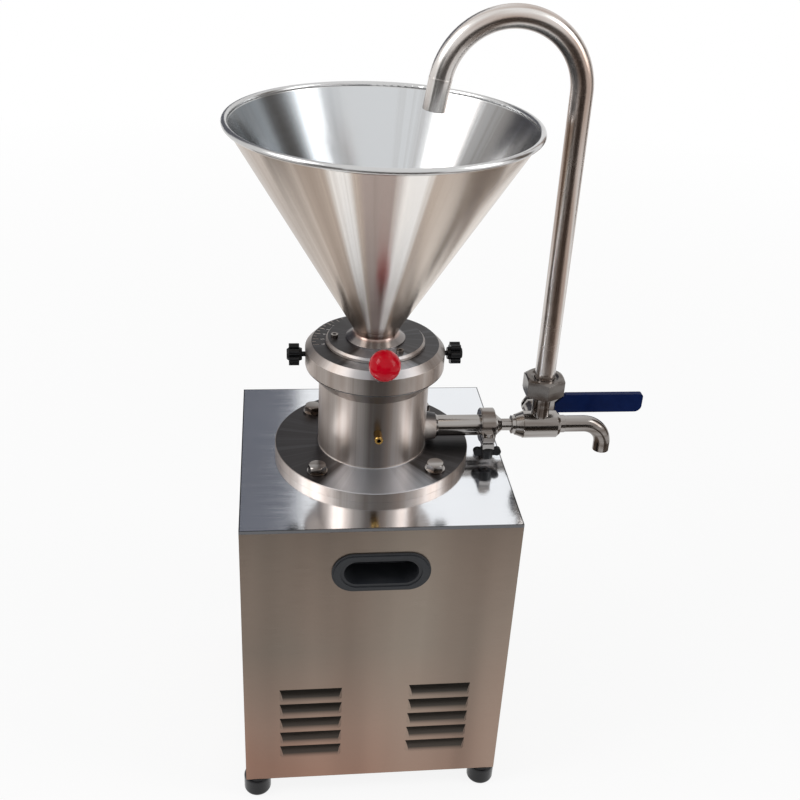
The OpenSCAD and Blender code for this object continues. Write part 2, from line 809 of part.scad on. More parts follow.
module wing_nut() {
  color("black") place() translate([wing_x, wing_y, zo - 8 - run_gap]) rotate([180, 0, 0]) difference() {
    union() {
      cylinder(r1 = 8.5, r2 = 7, h = 13);
      translate([-12, -3, 1]) cube([24, 6, 9]);
      for (s = [-1, 1]) translate([s * 12, 3, 5.5]) rotate([90, 0, 0]) cylinder(r = 5, h = 6, $fn = 48);
    }
    translate([0, 0, -1]) cylinder(r = 3 + run_gap, h = 20);
  }
}

module reducer() {
  xs = clamp_x + gasket_t / 2;
  xe = valve_x - barrel_len / 2 - 4.5;
  color("silver") place() translate([0, 0, zo]) difference() {
    union() {
      rod_x(xs, ferrule_r, ferrule_t);
      rod_x(xs, pipe_d / 2, 11.2);
      cone_x(xs + 11.2, pipe_d / 2, 7.5, 6.5);
      rod_x(xs + 16, 7.5, xe - xs - 16);
    }
    cone_x(xs - 0.5, pipe_d / 2 - 2, 5.5, 15);
    rod_x(xs, 5.5, 60);
  }
}

module valve_body() {
  b = barrel_len / 2;
  color("silver") place() translate([valve_x, 0, zo]) difference() {
    union() {
      rotate([0, 90, 0]) rotate_extrude() polygon([[0, -b - 10.5], [11.5, -b - 10.5],
        [11.5, -b - 6], [13, -b - 6],
        [barrel_r - 0.6, -b + 3], [barrel_r, -b + 3.6], [barrel_r, b - 4], [barrel_r - 3, b],
          [11, b + 1], [11, b + 7], [0, b + 7]]);
      cylinder(r = branch_r, h = nut_up);
      translate([0, 0, nut_up - 6]) cylinder(r1 = branch_r, r2 = 15, h = 4);
      translate([0, 0, nut_up - 2]) cylinder(r = thread_r, h = 14);
      rod_y(0, 12, lever_back - 10);
    }
    rotate([0, 90, 0]) translate([0, 0, -60]) cylinder(r = port_r, h = 120);
    rod_x(-b - 11, 7.5 + fit_gap, 6.5);
    rod_x(-19, ball_v + 0.6, 38);
    cylinder(r = port_r, h = 100);
    rod_y(0, 5.4, 80);
  }
}

module valve_seats() {
  color("white") place() translate([valve_x, 0, zo]) for (s = [-1, 1]) difference() {
    rod_x(s > 0 ? 9.6 : -19, ball_v + 0.3, 9.4);
    rod_x(-30, port_r, 60);
    sphere(r = ball_v + 0.35);
  }
}

module valve_ball() {
  color("lightgray") place() translate([valve_x, 0, zo]) difference() {
    sphere(r = ball_v);
    rod_x(-30, port_r - 0.5, 60);
    cylinder(r = port_r - 0.5, h = 30);
    translate([-5.5, 9, -2.3]) cube([11, 10, 4.6]);
  }
}

module valve_stem() {
  color("silver") place() translate([valve_x, 0, zo]) {
    intersection() {
      translate([-10, 9, -2]) cube([20, 6, 4]);
      rod_y(5, 5, 20);
    }
    rod_y(13.5, 5, lever_back - 13.5 + 11);
    rod_y(lever_back - 2.1, 6.5, 0.6);
  }
}

module stem_gland() {
  color("silver") place() translate([valve_x, lever_back - 10, zo]) difference() {
    union() {
      rotate([-90, 0, 0]) hex(22, 5);
      rod_y(4, 9, 3);
    }
    rod_y(-1, 5 + run_gap, 20);
  }
}

module lever() {
  color("silver") place() translate([valve_x, lever_back - 1.5, zo]) difference() {
    union() {
      rod_y(0, 12, 3);
      translate([0, 0, -9]) cube([grip_start - 1, 3, 20]);
      translate([grip_start - 2, 0, -7.4]) cube([lever_len - grip_start - 8, 3, 20]);
    }
    rod_y(-1, 5 + fit_gap, 6);
  }
}

module lever_grip() {
  h = grip_h / 2;
  color("navy") place() translate([valve_x, lever_back, zo + 2.6]) rotate([90, 0, 0]) difference() {
    translate([0, 0, -grip_t / 2]) linear_extrude(grip_t) {
      polygon([[grip_start, -h], [lever_len - 9, -h], [lever_len, -h + 9], [lever_len, h - 4],
        [lever_len - 4, h], [grip_start + h, h], [grip_start, 0]]);
      translate([lever_len - 9, -h + 9]) circle(r = 9);
      translate([lever_len - 4, h - 4]) circle(r = 4);
    }
    translate([20, -10.2, -1.5]) cube([lever_len - 30, 20.6, 3]);
  }
}

module lever_nut() {
  color("silver") place() translate([valve_x, lever_back + 1.5, zo]) difference() {
    rotate([-90, 0, 0]) hex(17, 7);
    rod_y(-1, 5 + fit_gap, 20);
  }
}

module union_nut() {
  color("silver") place() translate([valve_x, 0, z_nut]) difference() {
    intersection() {
      rotate([0, 0, 30]) hex(nut_af, nut_h);
      union() {
        cylinder(r1 = nut_af / 2 + 1, r2 = nut_af / 2 + 5, h = 3);
        translate([0, 0, 3]) cylinder(r = nut_af / 2 + 5, h = nut_h - 6);
        translate([0, 0, nut_h - 3]) cylinder(r1 = nut_af / 2 + 4, r2 = nut_af / 2 - 1.5, h = 3);
      }
    }
    translate([0, 0, -1]) cylinder(r = thread_r + run_gap, h = nut_h - 5.6);
    translate([0, 0, -1]) cylinder(r = loop_d / 2 + 0.6, h = nut_h + 2);
    translate([0, 0, nut_h - 2]) cylinder(r1 = loop_d / 2 + 2, r2 = loop_d / 2 + 6, h = 3);
  }
}

// the run of the recirculation pipe at one radius, each end longer by e
module loop_run(r, e) {
  zc = zo + loop_up;
  z = z_nut + 12 + run_gap;
  translate([0, 0, z - e]) cylinder(r = r, h = zc - z + e);
  translate([-loop_bend, 0, zc]) rotate([90, 0, 0]) rotate_extrude(angle = loop_turn)
    translate([loop_bend, 0]) circle(r = r, $fn = 64);
  translate([-loop_bend, 0, zc]) rotate([0, -loop_turn, 0]) translate([loop_bend, 0, 0])
    cylinder(r = r, h = loop_tail + e);
}

module recirc_pipe() {
  zc = zo + loop_up;
  color("silver") place() translate([valve_x, 0, 0]) difference() {
    union() {
      loop_run(loop_d / 2, 0);
      translate([-loop_bend, 0, zc]) rotate([0, -loop_turn, 0]) translate([loop_bend, 0, -1])
        cylinder(r = loop_d / 2 + 0.25, h = 2);
      translate([0, 0, z_nut + 12 + run_gap]) cylinder(r = thread_r - 0.6, h = 4);
    }
    loop_run(loop_d / 2 - 2, 1);
  }
}

module spout() {
  x = valve_x + barrel_len / 2 + 7;
  r = spout_d / 2;
  xe = x + spout_run;
  color("silver") place() translate([0, 0, zo]) {
    difference() {
      rod_x(x, r, spout_run);
      rod_x(x - 1, r - 1.8, spout_run + 2);
    }
    translate([xe, 0, -spout_bend]) rotate([90, 0, 0]) rotate_extrude(angle = 90)
      translate([spout_bend, 0]) difference() {
      circle(r = r, $fn = 64);
      circle(r = r - 1.8, $fn = 64);
    }
    translate([xe + spout_bend, 0, -spout_bend - spout_end]) difference() {
      cylinder(r = r, h = spout_end);
      translate([0, 0, -1]) cylinder(r = r - 1.8, h = spout_end + 2);
    }
  }
}

base_frame();
front_panel();
left_panel();
right_panel();
back_panel();
top_plate();
rubber_feet();
front_handle();
panel_screws();
cable_gland();
switch_base();
switch_knob();
motor_frame();
motor_top_shield();
motor_low_shield();
motor_stator();
motor_rotor();
shaft();
bearing_outer();
bearing_inner();
fan();
fan_cowl();
terminal_box();
mill_body();
flange_bolts();
flange_washers();
flange_nuts();
seal_seat();
seal_head();
rotor_cone();
rotor_nut();
stator_ring();
stator_carrier();
adjust_disc();
hub_plate();
hub_screws();
ball_rod();
ball_knob();
left_knob();
right_knob();
hopper();
drain_nozzle();
outlet_pipe();
clamp_upper();
clamp_lower();
clamp_gasket();
clamp_bolt();
wing_nut();
reducer();
valve_body();
valve_seats();
valve_ball();
valve_stem();
stem_gland();
lever();
lever_grip();
lever_nut();
union_nut();
recirc_pipe();
spout();
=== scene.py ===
import math

import bpy
from mathutils import Matrix, Vector

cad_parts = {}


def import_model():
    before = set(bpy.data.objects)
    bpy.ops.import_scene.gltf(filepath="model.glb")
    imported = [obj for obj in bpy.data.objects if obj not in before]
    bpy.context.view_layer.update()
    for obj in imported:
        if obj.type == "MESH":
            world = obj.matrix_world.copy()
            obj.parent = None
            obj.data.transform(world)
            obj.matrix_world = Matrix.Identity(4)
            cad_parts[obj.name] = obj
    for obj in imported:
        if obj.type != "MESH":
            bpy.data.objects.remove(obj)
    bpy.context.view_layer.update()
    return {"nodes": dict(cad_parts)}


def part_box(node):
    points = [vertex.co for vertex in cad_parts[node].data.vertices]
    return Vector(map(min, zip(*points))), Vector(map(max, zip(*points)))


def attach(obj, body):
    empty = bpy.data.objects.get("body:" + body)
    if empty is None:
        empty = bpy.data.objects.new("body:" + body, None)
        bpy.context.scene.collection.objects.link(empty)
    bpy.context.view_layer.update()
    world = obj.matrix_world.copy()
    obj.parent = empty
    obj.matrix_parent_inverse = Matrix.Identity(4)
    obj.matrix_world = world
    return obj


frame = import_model()
nodes = frame["nodes"]

# Places read from the frame, in metres: the mill's upright axis, disc, hopper and cabinet front
hopper_low, hopper_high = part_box("hopper")
disc_low, disc_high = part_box("adjust_disc")
MILL_AXIS = ((hopper_low.x + hopper_high.x) / 2, (hopper_low.y + hopper_high.y) / 2, 0.0)
DISC_TOP = disc_high.z
DISC_RADIUS = (disc_high.y - disc_low.y) / 2
HOPPER_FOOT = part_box("hub_plate")[1].z
HOPPER_TOP = hopper_high.z
CABINET_LOW, CABINET_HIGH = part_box("front_panel")

# Camera, fitted to the photograph: place in metres, angles in degrees, lens and sensor in millimetres
CAMERA_AT = (-0.21227, -1.12773, 1.13431)
CAMERA_YAW = 7.69
CAMERA_PITCH = 29.56
CAMERA_ROLL = 3.17
CAMERA_LENS = 48.27
CAMERA_SENSOR = 36

# Point that the lamps and most upright cards face, in metres
CENTRE = (MILL_AXIS[0], MILL_AXIS[1], 0.5)

# Floor: half its side and the distances over which it turns fully white, in metres
FLOOR_REACH = 9.0
FLOOR_FADE_START = 0.9
FLOOR_FADE_END = 3.2

# Share of plain white in the floor near the mill, where the rest shows the shadow
FLOOR_NEAR_WHITE = 0.88

# Strength of the world as fill light
FILL_STRENGTH = 0.55

# Height of the level cards above the floor, in metres
CARD_LIFT = 0.004

# Radius of the rounded edges of sheet and turned pieces, and of small fittings, in metres
CUT_EDGE = 0.0006
FITTING_EDGE = 0.0004

# Ranges of noise that are spread over a full change of finish
MIDDLE = (0.3, 0.7)
WIDE = (0.25, 0.75)

# How far noise shifts the borders of upright streaks, as a share of the radius
RAGGEDNESS = 0.14

BLACK = (0.0, 0.0, 0.0)

# Cabinet sheet: part of its height that holds the warm tint, which is painted reflection of warm
# surroundings, and tint of the right side and of side panels
WARM_HEIGHT = 0.55
WARM_RIGHT = 0.45
WARM_SIDES = 0.45

# Colour of the painted shade on the sloping backs of the pressed hoods
PAINTED_HOOD_SHADE = (0.045, 0.042, 0.038)

# Bend along the border of the top plate: width in metres, and colour of the painted shade along it
BEND_WIDTH = 0.0016
PAINTED_BEND_SHADE = (0.05, 0.05, 0.055)

# Lathe rings: lines of noise per metre, and their depth in metres
RING_SCALE = 4200.0
RING_DEPTH = 0.000003

# Level turned faces: painted dark shade, with thin painted radial glints and one painted bright highlight
# fan towards the front
LEVEL_SHADE = (0.022, 0.022, 0.025)
LEVEL_GLINT = (0.066, 0.068, 0.074)
LEVEL_FAN_HIGHLIGHT = (0.57, 0.60, 0.65)
FAN_RANGE = (0.84, 1.04)

# Turn of the hopper's sides, tinted as painted reflection, about its axis, in degrees
SIDE_TURN = -20

# Painted light and shade round the turned housing: how far to the right, from -1 to 1, and the share of
# light that is left
HOUSING_LIGHT_AND_SHADE = (
    (-1.0, 0.95), (-0.45, 1.0), (-0.36, 0.7), (-0.2, 0.38), (-0.08, 0.25), (0.05, 0.30),
    (0.2, 0.58), (0.42, 0.75), (0.6, 0.95), (0.85, 1.0), (1.0, 0.7),
)

# Hopper's neck and rim, in metres: weld above the hub plate, reach of its tint, foot ring, rolled bead
WELD_RISE = 0.0085
WELD_REACH = 0.02
FOOT_GAP = 0.001
FOOT_FADE = 0.002
BEAD_HEIGHT = 0.0062
BEAD_FADE = 0.001
WELD_TINT = (0.33, 0.22, 0.18)
# Colour of the foot ring, which is painted shade
FOOT_SHADE = (0.19, 0.18, 0.175)
BEAD_COLOUR = (0.60, 0.595, 0.59)

# Painted reflections on the hopper's outside: bright highlights and grey, brown and dark tones
BRIGHT = (1.0, 0.98, 0.96)
GREY = (0.79, 0.72, 0.66)
BROWN = (0.55, 0.465, 0.40)
DARK = (0.46, 0.385, 0.355)
HOPPER_REFLECTIONS = (
    (-1.0, GREY), (-0.68, GREY), (-0.58, BROWN), (-0.46, BROWN), (-0.39, BRIGHT), (-0.325, BRIGHT),
    (-0.26, BROWN), (-0.2, DARK), (-0.04, DARK), (0.06, BRIGHT), (0.16, BRIGHT), (0.23, BROWN),
    (0.5, GREY), (0.9, GREY), (1.0, BROWN),
)

# Painted reflections on the hopper's inside
DEEP = (0.17, 0.195, 0.22)
DIM = (0.39, 0.42, 0.45)
PALE = (0.50, 0.53, 0.56)
CLEAR = (0.655, 0.685, 0.72)
BOWL_REFLECTIONS = ((-1.0, DEEP), (-0.55, DIM), (-0.2, CLEAR), (0.7, CLEAR), (0.84, PALE), (1.0, PALE))

# Numerals on the disc: inset from its edge, size and thickness in metres, start and step in degrees
DIAL_INSET = 0.0205
DIAL_SIZE = 0.0062
DIAL_RISE = 0.00006
DIAL_START = 114
DIAL_STEP = 12
DIAL_COUNT = 7


class Shader:
    """A procedural material: short ways to add nodes and join them to its Principled shader."""

    def __init__(self, name):
        self.material = bpy.data.materials.new(name)
        self.material.use_nodes = True
        self.tree = self.material.node_tree
        self.main = self.tree.nodes["Principled BSDF"]
        found = self.add("ShaderNodeTexCoord").outputs
        self.place, self.facing = found["Object"], found["Normal"]

    def add(self, kind, **settings):
        """A new node of that kind, with those settings."""
        node = self.tree.nodes.new(kind)
        for key, value in settings.items():
            setattr(node, key, value)
        return node

    def join(self, source, socket):
        """Link an output to the socket, or set the socket to a plain value."""
        if hasattr(source, "is_output"):
            self.tree.links.new(source, socket)
        else:
            socket.default_value = source

    def put(self, name, source):
        """Feed one input of the Principled shader."""
        self.join(source, self.main.inputs[name])

    def math(self, operation, first, second=0.0):
        """One step of arithmetic on two numbers."""
        node = self.add("ShaderNodeMath", operation=operation)
        self.join(first, node.inputs[0])
        self.join(second, node.inputs[1])
        return node.outputs[0]

    def vector(self, operation, first, second=(0.0, 0.0, 0.0)):
        """One step of arithmetic on two vectors."""
        node = self.add("ShaderNodeVectorMath", operation=operation)
        self.join(first, node.inputs[0])
        self.join(second, node.inputs[1])
        return node.outputs["Value" if operation == "LENGTH" else "Vector"]

    def split(self, source):
        """The three parts of a vector."""
        node = self.add("ShaderNodeSeparateXYZ")
        self.join(source, node.inputs[0])
        return node.outputs

    def pack(self, x=0.0, y=0.0, z=0.0):
        """A vector of three parts."""
        node = self.add("ShaderNodeCombineXYZ")
        for socket, source in zip(node.inputs, (x, y, z)):
            self.join(source, socket)
        return node.outputs[0]

    def noise(self, where, scale=1.0, detail=3.0, rough=0.5):
        """Noise from 0 to 1 at that place."""
        node = self.add("ShaderNodeTexNoise")
        self.join(where, node.inputs["Vector"])
        node.inputs["Scale"].default_value = scale
        node.inputs["Detail"].default_value = detail
        node.inputs["Roughness"].default_value = rough
        return node.outputs["Fac"]

    def stretch(self, scale, where=None):
        """The place, scaled along each axis, for noise that runs in one direction."""
        return self.vector("MULTIPLY", where or self.place, scale)

    def spread(self, source, low, high, to_low, to_high):
        """The source carried from the range low to high over to another range, held at both ends."""
        node = self.add("ShaderNodeMapRange")
        self.join(source, node.inputs["Value"])
        ends = {"From Min": low, "From Max": high, "To Min": to_low, "To Max": to_high}
        for name, value in ends.items():
            self.join(value, node.inputs[name])
        return node.outputs[0]

    def blend(self, factor, first, second, mode="MIX"):
        """Two colours mixed by the factor."""
        node = self.add("ShaderNodeMix", data_type="RGBA", blend_type=mode)
        self.join(factor, node.inputs[0])
        for socket, source in ((node.inputs[6], first), (node.inputs[7], second)):
            self.join((*source, 1.0) if isinstance(source, tuple) else source, socket)
        return node.outputs[2]

    def ramp(self, source, stops):
        """Colour that follows the source, from -1 to 1, through the given places and colours."""
        node = self.add("ShaderNodeValToRGB")
        self.join(self.spread(source, -1.0, 1.0, 0.0, 1.0), node.inputs[0])
        points = node.color_ramp.elements
        for point, (at, colour) in zip(points, (stops[0], stops[-1])):
            point.position = (at + 1) / 2
            point.color = (*colour, 1.0)
        for at, colour in stops[1:-1]:
            points.new((at + 1) / 2).color = (*colour, 1.0)
        return node.outputs[0]

    def relief(self, height, depth, edge=0.0):
        """Bump of that depth in metres, over edges rounded by that radius."""
        bump = self.add("ShaderNodeBump")
        bump.inputs["Distance"].default_value = depth
        self.join(height, bump.inputs["Height"])
        if edge:
            rounded = self.add("ShaderNodeBevel", samples=4)
            rounded.inputs["Radius"].default_value = edge
            self.join(rounded.outputs[0], bump.inputs["Normal"])
        self.put("Normal", bump.outputs[0])

    def border(self, box, width):
        """Nearly 1 along the border of a level face of that box, over the given width, and 0 inside it."""
        low, high = box
        from_low = self.vector("SUBTRACT", self.place, low)
        from_high = self.vector("SUBTRACT", high, self.place)
        inset = self.split(self.vector("MINIMUM", from_low, from_high))
        return self.spread(self.math("MINIMUM", inset[0], inset[1]), 0.6 * width, width, 0.9, 0.0)

    def around_axis(self):
        """Level unit direction away from the mill's axis, and the distance from it."""
        arm = self.vector("SUBTRACT", self.place, MILL_AXIS)
        flat = self.vector("MULTIPLY", arm, (1.0, 1.0, 0.0))
        return self.vector("NORMALIZE", flat), self.vector("LENGTH", flat)

    def ragged(self, source, noise):
        """The source, shifted by noise, so that borders along it come out uneven."""
        shift = self.math("MULTIPLY", self.math("SUBTRACT", noise, 0.5), RAGGEDNESS)
        return self.math("ADD", source, shift)


def sheet(name, colour, warm, rough, grain_scale, drift, hood_shade=0.0, rim_box=None):
    """Rolled stainless sheet: fine grain along one direction, cloudy warm tint, strongest low on the front.

    The warm tint low on the front, beyond its random clouds, is a painted reflection of warm surroundings.
    Upright bands and the upper left are darker by the share drift: the bands are random tone, the upper
    left is painted shade. The sloping backs of pressed hoods are painted dark by hood_shade, as painted
    shade. With rim_box, the bend along the border of a level plate of that box is painted dark too, as
    shade.
    """
    s = Shader(name)
    grain = s.noise(s.stretch(grain_scale), detail=4.0, rough=0.6)
    cloud = s.noise(s.stretch((6.0, 6.0, 2.2)), detail=2.0)
    across, _, height = s.split(s.place)
    warm_top = CABINET_LOW.z + WARM_HEIGHT * (CABINET_HIGH.z - CABINET_LOW.z)
    low = s.spread(height, CABINET_LOW.z, warm_top, 1.0, 0.0)
    leftward = s.spread(across, CABINET_LOW.x, CABINET_HIGH.x, 1.0, 0.0)
    front = s.spread(s.split(s.facing)[1], -0.9, -0.3, 1.0, WARM_SIDES)
    # Painted reflection of warm surroundings: strongest low on the front and towards the left, weaker on
    # side panels
    painted_warm_reflection = s.math("MULTIPLY", front, s.math("MULTIPLY", low, s.math("ADD", leftward, WARM_RIGHT)))
    tint = s.blend(s.spread(s.math("ADD", painted_warm_reflection, cloud), 0.3, 1.6, 0.0, 1.0), colour, warm)
    # Painted shade: the upper left of the sheet is darker by the share drift
    shaded = s.math("MULTIPLY", leftward, s.spread(low, 0.0, 0.6, drift, 0.0))
    tint = s.blend(shaded, tint, BLACK)
    band = s.noise(s.stretch((11.0, 11.0, 0.9)), detail=2.0)
    tint = s.blend(s.spread(band, 0.35, 0.7, 0.0, drift), tint, BLACK)
    # Painted shade on the sloping backs of the hoods, darkest where they face most upward
    slope = s.spread(s.split(s.facing)[2], 0.03, 0.2, 0.0, hood_shade)
    tint = s.blend(slope, tint, PAINTED_HOOD_SHADE)
    # Painted shade along the bend at the border of the plate
    if rim_box:
        tint = s.blend(s.border(rim_box, BEND_WIDTH), tint, PAINTED_BEND_SHADE)
    lines = s.spread(grain, *MIDDLE, 0.0, 0.22)
    s.put("Base Color", s.blend(lines, tint, (0.52, 0.5, 0.48), "OVERLAY"))
    s.put("Metallic", 1.0)
    s.put("Roughness", s.spread(grain, *WIDE, rough - 0.06, rough + 0.08))
    s.relief(grain, 0.00002, CUT_EDGE)
    return s.material


def turned(name, colour, tint, rough, aniso, streak, flat_shade=0.0, sides=False, tones=None):
    """Lathe-turned steel: fine rings about the mill's axis, streaks of tint across them, darker level faces.

    With sides set, the tint gathers on the left and right instead of drifting round, as painted reflection.
    The tones, from the left side to the right, darken upright streaks of the metal as painted light and
    shade. The darker level faces are painted shade, with painted glints and a painted highlight fan.
    """
    s = Shader(name)
    around, radius = s.around_axis()
    sideways, depthways, _ = s.split(around)
    height = s.split(s.place)[2]
    ring_place = s.pack(s.math("MULTIPLY", radius, RING_SCALE), s.math("MULTIPLY", height, RING_SCALE))
    rings = s.noise(ring_place, detail=2.0, rough=0.7)
    fine = s.noise(s.stretch((9.0, 9.0, 0.0), around), detail=3.0, rough=0.65)
    # With sides, the tint gathers on the left and right as painted reflection
    if sides:
        swung = s.add("ShaderNodeVectorRotate", rotation_type="Z_AXIS")
        s.join(around, swung.inputs["Vector"])
        swung.inputs["Angle"].default_value = math.radians(SIDE_TURN)
        across, along, _ = s.split(swung.outputs[0])
        lean = s.math("SUBTRACT", s.math("MULTIPLY", across, across), s.math("MULTIPLY", along, along))
        broad = s.spread(lean, -0.7, 1.0, 0.15, 0.75)
    else:
        broad = s.noise(s.stretch((2.1, 2.1, 0.0), around), detail=1.0)
    band = s.spread(s.math("ADD", broad, s.math("MULTIPLY", fine, 0.8)), 0.65, 1.15, 0.0, streak)
    body = s.blend(band, colour, tint)
    # Painted light and shade: upright streaks from the left side to the right
    if tones:
        stops = [(at, (tone, tone, tone)) for at, tone in tones]
        body = s.blend(1.0, body, s.ramp(s.ragged(sideways, fine), stops), "MULTIPLY")
    frontward = s.math("MULTIPLY", depthways, -1.0)
    # Level faces: painted dark shade, painted radial glints and a painted highlight fan towards the front
    fan = s.spread(s.math("ADD", frontward, s.math("MULTIPLY", fine, 0.12)), *FAN_RANGE, 0.0, 1.0)
    glint = s.spread(fine, 0.48, 0.72, 0.0, 1.0)
    level = s.blend(fan, s.blend(glint, LEVEL_SHADE, LEVEL_GLINT), LEVEL_FAN_HIGHLIGHT)
    body = s.blend(s.spread(s.split(s.facing)[2], 0.5, 0.95, 0.0, flat_shade), body, level)
    lines = s.spread(rings, *MIDDLE, 0.0, 0.12)
    s.put("Base Color", s.blend(lines, body, (0.55, 0.55, 0.55), "OVERLAY"))
    s.put("Metallic", 1.0)
    s.put("Roughness", s.spread(rings, *WIDE, rough - 0.03, rough + 0.04))
    s.put("Anisotropic", aniso)
    s.put("Anisotropic Rotation", 0.25)
    turn = s.add(
        "ShaderNodeVectorTransform", vector_type="VECTOR", convert_from="OBJECT", convert_to="WORLD",
    )
    s.join(s.pack(frontward, sideways), turn.inputs[0])
    s.put("Tangent", s.vector("NORMALIZE", turn.outputs[0]))
    s.relief(rings, RING_DEPTH, CUT_EDGE)
    return s


def polished(name, colour, tint, rough, along=(14.0, 14.0, 14.0)):
    """Bright fitting steel or brass with faint smears and clouds of tint, which run along one direction."""
    s = Shader(name)
    smear = s.noise(s.stretch((26.0, 26.0, 60.0)), detail=4.0, rough=0.6)
    cloud = s.noise(s.stretch(along), detail=2.0)
    s.put("Base Color", s.blend(s.spread(cloud, 0.38, 0.62, 0.0, 1.0), colour, tint))
    s.put("Metallic", 1.0)
    s.put("Roughness", s.spread(smear, *MIDDLE, rough * 0.88, rough * 1.15))
    s.relief(smear, 0.00001, FITTING_EDGE)
    return s.material


def moulded(name, colour, lift, rough, grain, coat=0.0, shine=0.35):
    """Moulded plastic, rubber or paint: slight colour drift, fine grain of that depth, patches of gloss."""
    s = Shader(name)
    drift = s.noise(s.place, scale=60.0)
    skin = s.noise(s.place, scale=2200.0, detail=2.0, rough=0.6)
    s.put("Base Color", s.blend(s.spread(drift, *MIDDLE, 0.0, 1.0), colour, lift))
    s.put("Roughness", s.spread(drift, *MIDDLE, rough * 0.8, rough * 1.25))
    s.put("Coat Weight", coat)
    s.put("Specular IOR Level", shine)
    s.relief(skin, grain, FITTING_EDGE)
    return s.material


def hopper_steel():
    """Spun hopper: turned steel with upright tones, a darker foot ring and a pinkish weld round the neck."""
    s = turned(
        "hopper_spun_steel", colour=(0.95, 0.93, 0.905), tint=(0.474, 0.416, 0.371), rough=0.24,
        aniso=0.8, streak=0.85, sides=True,
    )
    base = s.main.inputs["Base Color"].links[0].from_socket
    height = s.split(s.place)[2]
    # Painted reflections: tones round the outside and the inside of the hopper, from left to right
    around = s.around_axis()[0]
    sideways = s.ragged(s.split(around)[0], s.noise(s.stretch((15.0, 15.0, 0.0), around)))
    outside = s.spread(s.split(s.facing)[2], -0.3, 0.0, 1.0, 0.0)
    tones = s.blend(outside, s.ramp(sideways, BOWL_REFLECTIONS), s.ramp(sideways, HOPPER_REFLECTIONS))
    base = s.blend(1.0, base, tones, "MULTIPLY")
    bead_low = HOPPER_TOP - BEAD_HEIGHT
    base = s.blend(s.spread(height, bead_low, bead_low + BEAD_FADE, 0.0, 0.85), base, BEAD_COLOUR)
    rise = s.math("SUBTRACT", height, HOPPER_FOOT)
    base = s.blend(s.spread(rise, WELD_RISE, WELD_RISE + WELD_REACH, 0.8, 0.0), base, WELD_TINT)
    # Painted shade: the foot ring is darker
    foot_top = WELD_RISE - FOOT_GAP
    foot = s.spread(rise, foot_top - FOOT_FADE, foot_top, 0.85, 0.0)
    s.put("Base Color", s.blend(foot, base, FOOT_SHADE))
    return s.material


def laminated(name):
    """Stacked motor plates: fine flat layers."""
    s = Shader(name)
    layer = s.noise(s.stretch((2.0, 2.0, 1500.0)), detail=1.0)
    s.put("Base Color", s.blend(layer, (0.16, 0.13, 0.11), (0.36, 0.31, 0.27)))
    s.put("Metallic", 0.8)
    s.put("Roughness", s.spread(layer, *MIDDLE, 0.4, 0.65))
    s.relief(layer, 0.00005)
    return s.material


# One finish for each of the record's material slots
FINISHES = {
    "sheet_steel": sheet(
        "brushed_sheet", colour=(0.312, 0.270, 0.226), warm=(0.355, 0.212, 0.158), rough=0.32,
        grain_scale=(30.0, 30.0, 1400.0), drift=0.33, hood_shade=0.92,
    ),
    "plate_steel": sheet(
        "polished_plate", colour=(0.84, 0.865, 0.90), warm=(0.86, 0.85, 0.85), rough=0.10,
        grain_scale=(20.0, 900.0, 20.0), drift=0.03, rim_box=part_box("top_plate"),
    ),
    "turned_steel": turned(
        "turned_steel", colour=(0.62, 0.567, 0.532), tint=(0.325, 0.235, 0.185), rough=0.40,
        aniso=0.45, streak=0.75, flat_shade=0.93, tones=HOUSING_LIGHT_AND_SHADE,
    ).material,
    "hopper_steel": hopper_steel(),
    "bright_steel": polished(
        "bright_steel", colour=(0.36, 0.34, 0.325), tint=(0.13, 0.105, 0.09), rough=0.17,
        along=(5.0, 75.0, 75.0),
    ),
    "pipe_steel": polished(
        "pipe_steel", colour=(0.70, 0.67, 0.645), tint=(0.38, 0.295, 0.25), rough=0.25,
        along=(8.0, 190.0, 3.0),
    ),
    "frame_paint": moulded(
        "frame_paint", colour=(0.05, 0.052, 0.055), lift=(0.07, 0.072, 0.075), rough=0.45, grain=0.00002,
    ),
    "motor_paint": moulded(
        "motor_paint", colour=(0.04, 0.058, 0.085), lift=(0.055, 0.075, 0.105), rough=0.42, grain=0.00003,
    ),
    "core_iron": laminated("core_iron"),
    "brass": polished("brass", colour=(0.50, 0.31, 0.09), tint=(0.36, 0.21, 0.06), rough=0.22),
    "foot_rubber": moulded(
        "foot_rubber", colour=(0.004, 0.004, 0.005), lift=(0.008, 0.008, 0.009), rough=0.24, grain=0.000008,
        coat=0.1, shine=0.25,
    ),
    "handle_plastic": moulded(
        "handle_plastic", colour=(0.018, 0.020, 0.024), lift=(0.026, 0.028, 0.032), rough=0.38,
        grain=0.00002,
    ),
    "black_plastic": moulded(
        "black_plastic", colour=(0.004, 0.004, 0.005), lift=(0.009, 0.009, 0.010), rough=0.34, grain=0.00002,
        shine=0.2,
    ),
    "ball_red": moulded(
        "ball_red", colour=(0.44, 0.001, 0.010), lift=(0.50, 0.001, 0.013), rough=0.12, grain=0.000002,
        coat=0.08, shine=0.12,
    ),
    "grip_blue": moulded(
        "grip_blue", colour=(0.002, 0.010, 0.062), lift=(0.003, 0.014, 0.082), rough=0.36, grain=0.00003,
        shine=0.07,
    ),
    "seal_dark": moulded(
        "seal_dark", colour=(0.012, 0.012, 0.013), lift=(0.022, 0.022, 0.024), rough=0.5, grain=0.00001,
    ),
    "seal_white": moulded(
        "seal_white", colour=(0.70, 0.70, 0.68), lift=(0.76, 0.76, 0.74), rough=0.5, grain=0.00001,
    ),
}

# Nodes whose finish differs from the one of their slot
NODE_FINISHES = {
    # The union nut takes a darker copy of the fitting steel, as painted shade
    "union_nut": polished(
        "nut_steel_painted_shade", colour=(0.19, 0.175, 0.163), tint=(0.085, 0.068, 0.057), rough=0.2,
        along=(5.0, 40.0, 75.0),
    ),
    "spout": FINISHES["bright_steel"],
}

